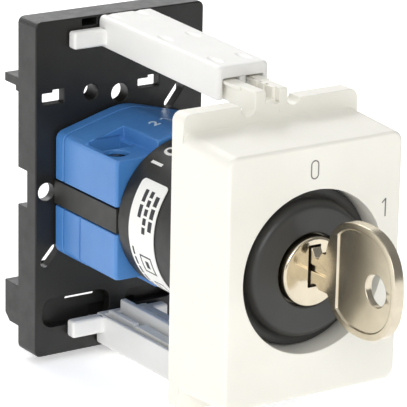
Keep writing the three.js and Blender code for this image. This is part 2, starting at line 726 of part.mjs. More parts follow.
const STOP_PIN_R = 1.2;
const STOP_RADIUS = 6.6;
function stopDisc() {
  const play = 13.6;
  const points = [];
  const from = 180 - KEY_TURN_DEG - play;
  const to = 180 + play;
  for (let a = from; a <= to + 0.01; a += (to - from) / 12) {
    const t = THREE.MathUtils.degToRad(a);
    points.push([(STOP_RADIUS + 1.6) * Math.sin(t), (STOP_RADIUS + 1.6) * Math.cos(t)]);
  }
  for (let a = to; a >= from - 0.01; a -= (to - from) / 12) {
    const t = THREE.MathUtils.degToRad(a);
    points.push([(STOP_RADIUS - 1.6) * Math.sin(t), (STOP_RADIUS - 1.6) * Math.cos(t)]);
  }
  points.reverse();
  let disc = cylY(9.6, -33.2, -31.2, 0, 0, 40).add(cylY(4.4, -35.0, -30.4, 0, 0, 28));
  disc = disc.subtract(box(-2.3, 2.3, -36, -30, -2.3, 2.3));
  return disc.subtract(extrudeY(points, -34, -30.8));
}
add('stop_disc', stopDisc(), 0xb9b4a4, 0.5);

// ---------------------------------------------------------------- black drum
function indexHousing() {
  const body = cylY(DRUM_R, DRUM_SPLIT, DRUM_BACK, 0, 0, 64);
  const cuts = [
    cylY(12.1, DRUM_SPLIT - 1, -30.0, 0, 0, 48),
    cylY(3.1, -31, -27, 0, 0, 32),
  ];
  for (const s of [-1, 1]) {
    cuts.push(box(s * 12.4, s * 13.97, -27, -31.0, -1.9, 1.9));
  }
  const pin = cylY(STOP_PIN_R, -34.6, -29.8, 0, -STOP_RADIUS, 20);
  return cut(body, cuts).add(pin);
}
add('index_housing', indexHousing(), BLACK, 0.45);

function lockShell() {
  const body = cylY(DRUM_R, SHELL_FRONT, DRUM_SPLIT - GAP, 0, 0, 64);
  return cut(body, [
    cylY(8.9, SHELL_FRONT - 1, -48.2, 0, 0, 48),
    cylY(7.3, -49, -45, 0, 0, 48),
  ]);
}
add('lock_shell', lockShell(), BLACK, 0.45);

function bezelRing() {
  const seg = 56;
  const profile = [
    [6.5, SHELL_FRONT - GAP], [DRUM_R, SHELL_FRONT - GAP], [DRUM_R, BEZEL_STEP + 0.3],
    [DRUM_R - 0.3, BEZEL_STEP], [PLATEAU_R + 1.3, BEZEL_STEP], [PLATEAU_R + 0.5, BEZEL_STEP - 0.3],
    [PLATEAU_R + 0.1, BEZEL_STEP - 1.0], [PLATEAU_R - 0.1, BEZEL_FRONT + 0.9],
    [PLATEAU_R - 0.5, BEZEL_FRONT + 0.25], [PLATEAU_R - 1.2, BEZEL_FRONT], [6.9, BEZEL_FRONT],
    [6.5, BEZEL_FRONT + 0.4], [6.5, SHELL_FRONT - GAP],
  ];
  const pts = profile.slice(0, -1).map((p) => new THREE.Vector2(p[0], p[1]));
  pts.push(pts[0].clone());
  const lathe = new THREE.LatheGeometry(pts, seg);
  let body = solid(lathe);
  if (body.volume() < 0) {
    body = solidFlipped(mergeVertices(stripped(lathe), 1e-5));
  }
  return body.subtract(cylY(10.5, -64.9, -61.5, 0, 0, 48));
}

function stripped(geometry) {
  const g = geometry.clone();
  g.deleteAttribute('normal');
  g.deleteAttribute('uv');
  return g;
}
add('bezel_ring', bezelRing(), 0x3b3b39, 0.45);

function typeLabel() {
  const points = [];
  const r0 = DRUM_R + 0.08;
  const r1 = DRUM_R + 0.26;
  const from = 141;
  const to = 262;
  const n = 28;
  for (let i = 0; i <= n; i += 1) {
    const t = THREE.MathUtils.degToRad(from + ((to - from) * i) / n);
    points.push([r1 * Math.cos(t), r1 * Math.sin(t)]);
  }
  for (let i = n; i >= 0; i -= 1) {
    const t = THREE.MathUtils.degToRad(from + ((to - from) * i) / n);
    points.push([r0 * Math.cos(t), r0 * Math.sin(t)]);
  }
  return extrudeY(points, -40.2, -32.2);
}
add('type_label', typeLabel(), 0xf4f3ee, 0.6);

// ---------------------------------------------------------------- lock
function lockBarrel() {
  const body = join([
    cylY(10.2, -64.6, SHELL_FRONT - GAP, 0, 0, 48),
    cylY(BARREL_R, SHELL_FRONT - 0.5, -48.5, 0, 0, 48),
    cylY(7.0, -48.7, -42.9, 0, 0, 40),
  ]);
  return body.subtract(cylY(5.8, -66, -42, 0, 0, 48));
}
add('lock_barrel', lockBarrel(), 0xb5b0a0, 0.35, 0.8);

function barrelNut() {
  const points = [];
  for (let i = 0; i < 6; i += 1) {
    const t = THREE.MathUtils.degToRad(60 * i + 30);
    points.push([10.6 * Math.cos(t), 10.6 * Math.sin(t)]);
  }
  return extrudeY(points, -45.9, -43.2).subtract(cylY(7.3, -47, -42, 0, 0, 40));
}
add('barrel_nut', barrelNut(), STEEL, 0.3, 0.9);

function lockPlug() {
  const head = loftY([
    { y: COVER_FRONT, ring: ringXZ(PLUG_HEAD_R - 0.35, 48) },
    { y: COVER_FRONT + 0.3, ring: ringXZ(PLUG_HEAD_R, 48) },
    { y: -64.9, ring: ringXZ(PLUG_HEAD_R, 48) },
  ]);
  const body = join([
    head,
    cylY(PLUG_R, -65.1, PLUG_BACK, 0, 0, 48),
    box(-1.25, 1.25, -43.4, -40.6, -3.9, 3.9),
  ]);
  return body.subtract(box(
    -1.25, 1.25, -70, -46.4, BLADE_Z - BLADE_HALF_W - GAP, BLADE_Z + BLADE_HALF_W + GAP,
  ));
}

function ringXZ(r, n) {
  const points = [];
  for (let i = 0; i < n; i += 1) {
    const t = (2 * Math.PI * i) / n;
    points.push([r * Math.cos(t), r * Math.sin(t)]);
  }
  return points;
}
add('lock_plug', lockPlug(), NICKEL, 0.25, 0.9);

// ---------------------------------------------------------------- key
// arc of a full-shouldered oval about the centre of the bow, degrees from +Y towards +Z
function oval(a, b, from, to, n) {
  const points = [];
  const fuller = (v) => Math.sign(v) * Math.abs(v) ** 0.84;
  const whole = to - from === 360 ? 1 : 0;
  for (let i = 0; i <= n - whole; i += 1) {
    const t = THREE.MathUtils.degToRad(from + ((to - from) * i) / n);
    points.push([BOW_Y + a * fuller(Math.cos(t)), BOW_Z + b * fuller(Math.sin(t))]);
  }
  return points;
}

function key() {
  const half = KEY_HALF_T;
  const bow = extrudeX(oval(BOW_HALF_L, BOW_HALF_W, 0, 360, 56), -half, half);
  const neck = extrudeX(
    [
      [BOW_START, BOW_Z + 4.7], [BOW_START - 0.5, BOW_Z + 5.2], [-76.0, BOW_Z + 7.4],
      [-79, BOW_Z + 8], [-79, BOW_Z - 8], [-76.0, BOW_Z - 7.4], [BOW_START - 0.5, BOW_Z - 5.2],
      [BOW_START, BOW_Z - 4.7],
    ],
    -half,
    half,
  );
  const top = BLADE_Z + BLADE_HALF_W;
  const low = BLADE_Z - BLADE_HALF_W;
  // cuts along both edges, from the bow to the tip
  const upper = [];
  const lower = [];
  const depths = [1.5, 0.6, 1.9, 1.0, 1.6, 0.7];
  depths.forEach((depth, i) => {
    const y = BOW_START + 2.2 + i * 3.7;
    upper.push([y, top], [y + 1.0, top - depth], [y + 1.8, top - depth], [y + 2.8, top]);
    const other = depths[depths.length - 1 - i];
    lower.push([y + 0.6, low], [y + 1.5, low + other], [y + 2.3, low + other], [y + 3.2, low]);
  });
  lower.reverse();
  const blade = [
    [BOW_START - 1, top], ...upper, [BLADE_TIP - 1.6, top - 0.4], [BLADE_TIP, BLADE_Z + 1.2],
    [BLADE_TIP, BLADE_Z - 1.2], [BLADE_TIP - 1.2, low + 0.3], ...lower, [BOW_START - 1, low],
  ].reverse();
  const body = join([bow, neck, extrudeX(blade, -half, half)]);
  const panel = oval(BOW_HALF_L - 1.2, BOW_HALF_W - 1.2, 46, 314, 30);
  return cut(body, [
    cylX(KEY_HOLE_R, -3, 3, KEY_HOLE_Y, KEY_HOLE_Z, 32),
    extrudeX(panel, -half - 1, -half + 0.3),
    extrudeX(panel, half - 0.3, half + 1),
    // side groove of the blade
    box(-half - 1, -half + 0.45, BOW_START + 0.8, -46, BLADE_Z - 0.6, BLADE_Z + 0.5),
  ]);
}
add('key', key(), NICKEL, 0.22, 0.9);

export default group;
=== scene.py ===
import bpy
import bmesh
import math
from mathutils import Matrix, Vector


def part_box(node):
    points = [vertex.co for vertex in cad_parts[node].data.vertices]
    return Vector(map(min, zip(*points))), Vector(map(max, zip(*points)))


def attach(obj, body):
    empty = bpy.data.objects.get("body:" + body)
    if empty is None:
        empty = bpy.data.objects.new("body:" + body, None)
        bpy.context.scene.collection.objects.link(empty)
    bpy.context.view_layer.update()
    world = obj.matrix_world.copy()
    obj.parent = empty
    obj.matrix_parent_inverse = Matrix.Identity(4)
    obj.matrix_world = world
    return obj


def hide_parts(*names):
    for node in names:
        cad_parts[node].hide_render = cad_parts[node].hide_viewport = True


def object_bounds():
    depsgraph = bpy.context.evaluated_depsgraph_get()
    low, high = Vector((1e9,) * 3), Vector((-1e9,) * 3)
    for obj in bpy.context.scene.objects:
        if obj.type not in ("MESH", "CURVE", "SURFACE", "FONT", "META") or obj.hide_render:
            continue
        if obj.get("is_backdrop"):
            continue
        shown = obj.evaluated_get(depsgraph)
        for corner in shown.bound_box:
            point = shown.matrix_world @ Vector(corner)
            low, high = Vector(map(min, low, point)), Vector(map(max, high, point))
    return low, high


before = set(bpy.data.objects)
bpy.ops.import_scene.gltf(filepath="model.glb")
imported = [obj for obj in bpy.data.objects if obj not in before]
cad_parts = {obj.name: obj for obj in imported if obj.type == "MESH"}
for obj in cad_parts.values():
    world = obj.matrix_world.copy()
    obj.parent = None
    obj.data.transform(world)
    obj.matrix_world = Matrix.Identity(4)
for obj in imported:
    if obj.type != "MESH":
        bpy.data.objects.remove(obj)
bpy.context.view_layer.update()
MM = 0.001
scene = bpy.context.scene


# ------------------------------------------------------------------ sizes (millimetres)
def box_mm(node):
    low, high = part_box(node)
    return [c / MM for c in low], [c / MM for c in high]


COVER_LOW, COVER_HIGH = box_mm("front_cover")
DRUM_LOW, DRUM_HIGH = box_mm("index_housing")
SHELL_LOW, SHELL_HIGH = box_mm("lock_shell")
BEZEL_LOW, BEZEL_HIGH = box_mm("bezel_ring")
PLUG_LOW, PLUG_HIGH = box_mm("lock_plug")
LABEL_LOW, LABEL_HIGH = box_mm("type_label")
SLEEVE_FRONT = box_mm("sleeve_top")[0][1]
DRUM_R = DRUM_HIGH[0]
FACE_Y = COVER_LOW[1]
OVERLAP = 1.0
MERGE_MM = 0.004
FLAT_DEG = 0.2
INK_MM = 0.024


# ------------------------------------------------------------------ materials
def linear(c):
    return tuple(x / 12.92 if x <= 0.04045 else ((x + 0.055) / 1.055) ** 2.4 for x in c)


def shader(name):
    m = bpy.data.materials.new(name)
    m.use_nodes = True
    tree = m.node_tree
    return m, tree, tree.nodes["Principled BSDF"]


def noise(tree, coords, size_mm, detail, rough=0.55):
    n = tree.nodes.new("ShaderNodeTexNoise")
    n.inputs["Scale"].default_value = 1.0 / (size_mm * MM)
    n.inputs["Detail"].default_value = detail
    n.inputs["Roughness"].default_value = rough
    tree.links.new(coords, n.inputs["Vector"])
    return n.outputs["Fac"]


def ranged(tree, value, low, high, start=0.3, stop=0.7):
    r = tree.nodes.new("ShaderNodeMapRange")
    r.inputs["From Min"].default_value = start
    r.inputs["From Max"].default_value = stop
    r.inputs["To Min"].default_value = low
    r.inputs["To Max"].default_value = high
    tree.links.new(value, r.inputs["Value"])
    return r.outputs["Result"]


def tinted(tree, value, dark, light):
    mix = tree.nodes.new("ShaderNodeMix")
    mix.data_type = "RGBA"
    mix.inputs["A"].default_value = (*linear(dark), 1)
    mix.inputs["B"].default_value = (*linear(light), 1)
    tree.links.new(value, mix.inputs["Factor"])
    return mix.outputs["Result"]


def bumped(tree, bsdf, value, strength, distance_mm):
    b = tree.nodes.new("ShaderNodeBump")
    b.inputs["Strength"].default_value = strength
    b.inputs["Distance"].default_value = distance_mm * MM
    tree.links.new(value, b.inputs["Height"])
    tree.links.new(b.outputs["Normal"], bsdf.inputs["Normal"])


def uneven(tree, bsdf, value, colour, below, above):
    """Base colour that drifts a little below and above the given one."""
    dark = [max(0.0, c - below) for c in colour]
    light = [min(1.0, c + above) for c in colour]
    tree.links.new(tinted(tree, ranged(tree, value, 0, 1), dark, light), bsdf.inputs["Base Color"])


def plastic(name, colour, rough=(0.36, 0.5), grain=0.35, strength=0.12, spread=0.02, coat=0.0,
            subsurface=0.0):
    """Moulded plastic: faint uneven tint, uneven gloss and a fine eroded surface."""
    m, tree, bsdf = shader(name)
    where = tree.nodes.new("ShaderNodeTexCoord").outputs["Object"]
    wide = noise(tree, where, 9.0, 2.0)
    fine = noise(tree, where, grain, 3.0, 0.6)
    uneven(tree, bsdf, wide, colour, spread, spread * 0.6)
    tree.links.new(ranged(tree, noise(tree, where, 2.4, 4.0), *rough), bsdf.inputs["Roughness"])
    bumped(tree, bsdf, fine, strength, 0.02)
    bsdf.inputs["Coat Weight"].default_value = coat
    bsdf.inputs["Coat Roughness"].default_value = 0.25
    if subsurface:
        bsdf.inputs["Subsurface Weight"].default_value = subsurface
        bsdf.inputs["Subsurface Radius"].default_value = (0.9, 0.8, 0.6)
        bsdf.inputs["Subsurface Scale"].default_value = 0.0006
    return m


def metal(name, colour, rough, stretch=(1, 1, 1), grain=0.25, strength=0.05):
    """Metal with a fine directional finish and faint stains."""
    m, tree, bsdf = shader(name)
    where = tree.nodes.new("ShaderNodeTexCoord").outputs["Object"]
    mapping = tree.nodes.new("ShaderNodeMapping")
    mapping.inputs["Scale"].default_value = stretch
    tree.links.new(where, mapping.inputs["Vector"])
    brushed = noise(tree, mapping.outputs["Vector"], grain, 4.0, 0.65)
    wide = noise(tree, where, 4.0, 3.0)
    uneven(tree, bsdf, wide, colour, 0.04, 0.02)
    tree.links.new(ranged(tree, brushed, *rough), bsdf.inputs["Roughness"])
    bumped(tree, bsdf, brushed, strength, 0.01)
    bsdf.inputs["Metallic"].default_value = 1.0
    return m


def ink(name, colour):
    """Printed ink: nearly flat, with a slightly uneven film."""
    m, tree, bsdf = shader(name)
    where = tree.nodes.new("ShaderNodeTexCoord").outputs["Object"]
    film = noise(tree, where, 0.3, 2.0)
    uneven(tree, bsdf, film, colour, 0.03, 0.03)
    bsdf.inputs["Roughness"].default_value = 0.55
    return m


CREAM = plastic("cover_cream", (0.945, 0.937, 0.90), (0.38, 0.5), 0.5, 0.06, 0.008, 0.0, 0.12)
COOL = plastic("sleeve_grey", (0.935, 0.933, 0.92), (0.34, 0.46), 0.45, 0.07, 0.012, 0.0, 0.1)
BLACK = plastic("plate_black", (0.105, 0.103, 0.095), (0.36, 0.5), 0.22, 0.25, 0.012)
LATCH = plastic("latch_black", (0.125, 0.123, 0.115), (0.36, 0.5), 0.22, 0.25, 0.012)
STRAP = plastic("strap_black", (0.165, 0.163, 0.15), (0.4, 0.52), 0.2, 0.2, 0.015)
DRUM = plastic("drum_black", (0.115, 0.113, 0.10), (0.38, 0.5), 0.2, 0.22, 0.014)
BEZEL = plastic("bezel_black", (0.205, 0.205, 0.20), (0.34, 0.44), 0.16, 0.18, 0.012)
BLUE = plastic("block_blue", (0.29, 0.52, 0.78), (0.3, 0.42), 0.3, 0.1, 0.02, 0.15, 0.08)
LABEL = plastic("label_white", (0.95, 0.95, 0.935), (0.42, 0.52), 0.25, 0.05, 0.01)
ROTOR = plastic("rotor_grey", (0.56, 0.56, 0.54))
IVORY = plastic("carrier_ivory", (0.85, 0.83, 0.77))
NICKEL = metal("nickel_polished", (0.86, 0.82, 0.735), (0.10, 0.20), (1, 1, 1), 0.3, 0.05)
BRUSHED = metal("nickel_brushed", (0.85, 0.81, 0.73), (0.17, 0.27), (1, 0.25, 2.5), 0.14, 0.035)
STEEL = metal("steel_zinc", (0.68, 0.70, 0.72), (0.22, 0.36))
# Terminal-screw steel, darker than STEEL: painted shade standing in for the shade deep in the screw
# shafts
PAINTED_SHADE_STEEL = metal("steel_painted_shade", (0.30, 0.29, 0.28), (0.22, 0.36))
BRASS = metal("brass_strip", (0.80, 0.66, 0.36), (0.22, 0.34))
SILVER = metal("silver_contact", (0.88, 0.88, 0.86), (0.16, 0.28))
ZINC = metal("zinc_cast", (0.70, 0.68, 0.63), (0.32, 0.45))
GREY_INK = ink("ink_grey", (0.47, 0.46, 0.44))
DARK_INK = ink("ink_dark", (0.16, 0.16, 0.17))
WHITE_INK = ink("ink_white", (0.93, 0.93, 0.92))
PALE_INK = ink("ink_pale", (0.80, 0.88, 0.95))


# ------------------------------------------------------------------ mesh tools (millimetres)
def temp(name, bm):
    me = bpy.data.meshes.new(name)
    bm.normal_update()
    bm.to_mesh(me)
    bm.free()
    ob = bpy.data.objects.new(name, me)
    scene.collection.objects.link(ob)
    return ob


def settle(ob):
    """Applies every modifier of ob to its mesh."""
    bpy.context.view_layer.update()
    graph = bpy.context.evaluated_depsgraph_get()
    me = bpy.data.meshes.new_from_object(ob.evaluated_get(graph))
    ob.modifiers.clear()
    old = ob.data
    ob.data = me
    bpy.data.meshes.remove(old)
    return ob


def boolean(ob, others, operation):
    for other in others:
        mod = ob.modifiers.new("cut", "BOOLEAN")
        mod.operation = operation
        mod.solver = "EXACT"
        mod.object = other
    settle(ob)
    for other in others:
        bpy.data.objects.remove(other)
    return ob


def tidy(ob):
    """Merges touching points and coplanar faces, splits big faces, and turns the mesh outwards."""
    bm = bmesh.new()
    bm.from_mesh(ob.data)
    bmesh.ops.remove_doubles(bm, verts=bm.verts, dist=MERGE_MM)
    bmesh.ops.dissolve_degenerate(bm, edges=bm.edges, dist=MERGE_MM / 2)
    flat = math.radians(FLAT_DEG)
    bmesh.ops.dissolve_limit(bm, angle_limit=flat, verts=bm.verts, edges=bm.edges)
    wide = [f for f in bm.faces if len(f.verts) > 4]
    bmesh.ops.triangulate(bm, faces=wide, quad_method="BEAUTY", ngon_method="BEAUTY")
    bmesh.ops.recalc_face_normals(bm, faces=bm.faces)
    if bm.calc_volume(signed=True) < 0:
        bmesh.ops.reverse_faces(bm, faces=bm.faces)
    bm.to_mesh(ob.data)
    bm.free()
    return ob


def rounded(ob, width, segments=2, angle=32):
    """Rounds the edges; no corner of the bevel may stand out of the box the shape had before."""
    tidy(ob)
    low = [min(v.co[k] for v in ob.data.vertices) for k in range(3)]
    high = [max(v.co[k] for v in ob.data.vertices) for k in range(3)]
    mod = ob.modifiers.new("edges", "BEVEL")
    mod.width = width
    mod.segments = segments
    mod.limit_method = "ANGLE"
    mod.angle_limit = math.radians(angle)
    mod.use_clamp_overlap = False
    mod.loop_slide = False
    mod.miter_outer = "MITER_ARC"
    settle(ob)
    for v in ob.data.vertices:
        v.co = [min(max(c, a), b) for c, a, b in zip(v.co, low, high)]
    return ob


def flatten(ob):
    """Joins coplanar faces again, so that flat walls shade flat."""
    bm = bmesh.new()
    bm.from_mesh(ob.data)
    bmesh.ops.dissolve_limit(bm, angle_limit=math.radians(0.5), verts=bm.verts, edges=bm.edges)
    bm.to_mesh(ob.data)
    bm.free()
    return ob


def finished(ob, name, material, body, replaced=(), smooth=34):
    """Scales a millimetre mesh to metres, gives it its looks and hangs it on its body."""
    ob.name = name
    ob.data.name = name
    ob.data.transform(Matrix.Scale(MM, 4))
    ob.data.materials.clear()
    ob.data.materials.append(material)
    ob.data.polygons.foreach_set("use_smooth", [True] * len(ob.data.polygons))
    ob.data.set_sharp_from_angle(angle=math.radians(smooth))
    mod = ob.modifiers.new("flats", "WEIGHTED_NORMAL")
    mod.weight = 100
    mod.keep_sharp = True
    settle(ob)
    ob.data.name = name
    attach(ob, body)
    if replaced:
        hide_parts(*replaced)
    return ob


def from_cad(node):
    """A working copy of a CAD node, in millimetres."""
    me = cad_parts[node].data.copy()
    me.transform(Matrix.Scale(1 / MM, 4))
    ob = bpy.data.objects.new(node + "_work", me)
    scene.collection.objects.link(ob)
    return ob


def solid_box(x0, x1, y0, y1, z0, z1):
    bm = bmesh.new()
    bmesh.ops.create_cube(bm, size=1)
    for v in bm.verts:
        v.co.x = x0 if v.co.x < 0 else x1
        v.co.y = y0 if v.co.y < 0 else y1
        v.co.z = z0 if v.co.z < 0 else z1
    bmesh.ops.recalc_face_normals(bm, faces=bm.faces)
    return temp("box", bm)


def skin(rings, name):
    """Closed skin through rings of points, with a flat face on the first and the last ring."""
    bm = bmesh.new()
    rows = [[bm.verts.new(point) for point in ring] for ring in rings]
    n = len(rows[0])
    for a, b in zip(rows, rows[1:]):
        for i in range(n):
            bm.faces.new((a[i], a[(i + 1) % n], b[(i + 1) % n], b[i]))
    bm.faces.new(rows[0][::-1])
    bm.faces.new(rows[-1])
    bmesh.ops.recalc_face_normals(bm, faces=bm.faces)
    return temp(name, bm)


def loft(rings):
    """Closed skin through outlines given as (y, [(x, z), ...])."""
    return skin([[(x, y, z) for x, z in ring] for y, ring in rings], "loft")


def prism_x(points, x0, x1):
    """Outline of (y, z) points drawn out along X."""
    return skin([[(x, y, z) for y, z in points] for x in (x0, x1)], "prism")


def lathe(profile, segments):
    """Revolves a closed (radius, y) profile round the lock axis; radius 0 closes on the axis."""
    bm = bmesh.new()
    columns = []
    for i in range(segments):
        a = 2 * math.pi * i / segments
        columns.append([bm.verts.new((r * math.cos(a), y, r * math.sin(a))) for r, y in profile])
    count = len(profile)
    for i in range(segments):
        a, b = columns[i], columns[(i + 1) % segments]
        for k in range(count):
            j = (k + 1) % count
            if profile[k][0] == 0 and profile[j][0] == 0:
                continue
            bm.faces.new((a[k], a[j], b[j], b[k]))
    bmesh.ops.remove_doubles(bm, verts=bm.verts, dist=1e-5)
    bmesh.ops.dissolve_degenerate(bm, edges=bm.edges, dist=1e-6)
    bmesh.ops.recalc_face_normals(bm, faces=bm.faces)
    return temp("lathe", bm)


def rounded_rect(hx, hz, r, n=8):
    """Outline (x, z) of a rectangle of half sizes hx and hz, with corners of radius r."""
    points = []
    for sx, sz, start in ((1, 1, 0), (-1, 1, 90), (-1, -1, 180), (1, -1, 270)):
        for i in range(n + 1):
            a = math.radians(start + 90 * i / n)
            points.append((sx * (hx - r) + r * math.cos(a), sz * (hz - r) + r * math.sin(a)))
    return points


def ring_xz(r, n, x=0.0, z=0.0):
    return [(x + r * math.cos(2 * math.pi * i / n), z + r * math.sin(2 * math.pi * i / n))
            for i in range(n)]


def rod_y(r, y0, y1, x=0.0, z=0.0, n=48):
    return loft([(y0, ring_xz(r, n, x, z)), (y1, ring_xz(r, n, x, z))])


def fillet(r0, y0, r1, y1, n=6, inward=False):
    """Quarter-round profile points from (r0, y0) to (r1, y1)."""
    points = []
    for i in range(n + 1):
        a = math.pi / 2 * i / n
        if inward:
            points.append((r0 + (r1 - r0) * (1 - math.cos(a)), y0 + (y1 - y0) * math.sin(a)))
        else:
            points.append((r0 + (r1 - r0) * math.sin(a), y0 + (y1 - y0) * (1 - math.cos(a))))
    return points


# ------------------------------------------------------------------ camera
YAW, PITCH, ROLL = math.radians(-33.52), math.radians(17.78), math.radians(1.034)
DISTANCE, SIDE, RISE = 499.02, -21.9, 7.41
LENS, SENSOR = 262.06, 36
SHIFT = (0.0474, 0.0601)
cam_data = bpy.data.cameras.new("camera")
cam = bpy.data.objects.new("camera", cam_data)
scene.collection.objects.link(cam)
back = Vector((math.sin(YAW) * math.cos(PITCH), -math.cos(YAW) * math.cos(PITCH), math.sin(PITCH)))
level = (-back).cross(Vector((0, 0, 1))).normalized()
upward = level.cross(-back)
cam_x = level * math.cos(ROLL) + upward * math.sin(ROLL)
cam_y = -level * math.sin(ROLL) + upward * math.cos(ROLL)
place = back * DISTANCE + cam_x * SIDE + cam_y * RISE + Vector((0, FACE_Y, 0))
cam.matrix_world = Matrix((
    (cam_x.x, cam_y.x, back.x, place.x * MM),
    (cam_x.y, cam_y.y, back.y, place.y * MM),
    (cam_x.z, cam_y.z, back.z, place.z * MM),
    (0, 0, 0, 1),
))
cam_data.sensor_width = SENSOR
cam_data.lens = LENS
cam_data.shift_x, cam_data.shift_y = SHIFT
cam_data.clip_start = 0.01
scene.camera = cam


# ------------------------------------------------------------------ front cover
BEYOND_FLANGE = 28
PRONG_TOP, PRONG_ROOT = 28.6, 24.3
PRONG_EDGE = {1: (24.9, 25.7), -1: (24.9, 24.5)}
PRONG_PROUD = 0.02


def front_cover():
    """Hollow front with its flange, collar and slots; the four prongs are pieces of their own."""
    front = FACE_Y
    half_w = COVER_HIGH[0]
    corner, flange_corner, inner_corner = 2.0, 1.6, 1.4
    collar_r, hole_r = 15.9, 14.45
    flange_front, flange_back, flange_z = front + 13.6, front + 17.0, 26.5
    face_w, face_h, root_h, edge = half_w - 0.2, 22.35, 23.2, 0.65
    rings = []
    for i in range(7):
        a = math.pi / 2 * i / 6
        inset = edge * (1 - math.sin(a))
        rings.append((front + edge * (1 - math.cos(a)),
                      rounded_rect(face_w - inset, face_h - inset, corner - inset * 0.7)))
    rings += [(y, rounded_rect(half_w, root_h, corner)) for y in (flange_front, flange_back)]
    body = loft(rings)
    flange = loft([(y, rounded_rect(half_w, flange_z, flange_corner))
                   for y in (flange_front, flange_back)])
    collar = rod_y(collar_r, front + 1.5, front + 10.2, n=96)
    hollow = loft([
        (front + 2.2, rounded_rect(15.9, 20.7, inner_corner, 6)),
        (flange_back + 0.6, rounded_rect(16.4, 21.5, inner_corner, 6)),
    ])
    boolean(body, [flange], "UNION")
    boolean(body, [hollow], "DIFFERENCE")
    boolean(body, [collar], "UNION")
    cuts = [rod_y(hole_r, front - OVERLAP, front + 12, n=128)]
    for s in (1, -1):
        for x0, x1, low in ((-6.3, -3.5, 24.5), (3.1, 5.8, 25.3)):
            cuts.append(u_cut(x0, x1, low, s, flange_front - OVERLAP, flange_back + OVERLAP))
        z = sorted((s * 26.0, s * BEYOND_FLANGE))
        cuts.append(solid_box(0.4, 1.5, flange_front - OVERLAP, flange_front + 1.3, *z))
    boolean(body, cuts, "DIFFERENCE")
    rounded(body, 0.2, 3, 40)
    finished(flatten(body), "cover_moulding", CREAM, "cover", ["front_cover"], 30)
    for s, side in ((1, "top"), (-1, "bottom")):
        left, right = prong_pair(s, flange_front - PRONG_PROUD)
        finished(flatten(left), f"prong_{side}_left", CREAM, "cover", (), 30)
        finished(flatten(right), f"prong_{side}_right", CREAM, "cover", (), 30)


def u_cut(x0, x1, low, s, y0, y1):
    """Slot with a round bottom cut in the flange beside a prong."""
    r = (x1 - x0) / 2
    cx = (x0 + x1) / 2
    ring = [(x1, s * BEYOND_FLANGE), (x0, s * BEYOND_FLANGE)]
    for i in range(13):
        a = math.pi * i / 12
        ring.append((cx - r * math.cos(a), s * (low + r * (1 - math.sin(a)))))
    return loft([(y0, ring), (y1, ring)])


def prong_side(s, front):
    """Side outline of a prong: square shoulder at the flange, rounded end in the sleeve."""
    end, r = COVER_HIGH[1], 0.5
    edge0, edge1 = PRONG_EDGE[s]
    side = [(front, PRONG_ROOT)]
    for i in range(6):
        a = math.pi / 2 * i / 5
        side.append((front + r * (1 - math.cos(a)), PRONG_TOP - r + r * math.sin(a)))
    side += [(end - 0.6, PRONG_TOP), (end, PRONG_TOP - 0.6), (end, edge1 + 0.5),
             (end - 0.6, edge1), (-49.9, edge0), (-51.3, PRONG_ROOT)]
    return [(y, s * z) for y, z in side]


def prong_pair(s, f):
    """Two tongues of the cover that run back into a sleeve; the right one has catch teeth."""
    end = COVER_HIGH[1]
    lip = sorted((s * (PRONG_TOP - 0.7), s * PRONG_TOP))
    left = rounded(prism_x(prong_side(s, f), -3.55, -1.25), 0.28, 4, 40)
    guide = rounded(solid_box(-4.0, -1.9, -50.5, end - 1, *lip), 0.15, 3, 40)
    boolean(left, [guide], "UNION")
    right = prism_x(prong_side(s, f), 1.5, 3.15)
    adds = [solid_box(1.45, 3.6, -48.6, end - 1, *lip)]
    for y0, y1, z0 in ((-53.25, -51.3, 25.6), (-50.5, -49.5, 27.2), (-48.3, -47.2, 27.2)):
        adds.append(solid_box(0.95, 1.6, y0, y1, *sorted((s * z0, s * (PRONG_TOP - 0.05)))))
    boolean(right, adds, "UNION")
    rounded(right, 0.1, 3, 40)
    return [left, right]


front_cover()


# ------------------------------------------------------------------ plain CAD shapes with moulded edges
def moulded(node, name, material, body, width, segments=2, angle=32):
    """A CAD shape with rounded edges, standing for its node."""
    work = rounded(from_cad(node), width, segments, angle)
    return finished(work, name, material, body, [node])


moulded("base_plate", "plate_moulding", BLACK, "base", 0.12, 3)
moulded("rail_latch", "latch_moulding", LATCH, "latch", 0.15)
moulded("rear_end_plate", "end_plate_moulding", BLUE, "base", 0.2, 3, 40)
moulded("strap_left", "strap_left_moulding", STRAP, "base", 0.1)
moulded("strap_right", "strap_right_moulding", STRAP, "base", 0.1)
moulded("contact_housing", "block_moulding", BLUE, "base", 0.2, 3, 40)


# ------------------------------------------------------------------ sleeves
PLATE_FRONT_Y = -6.6


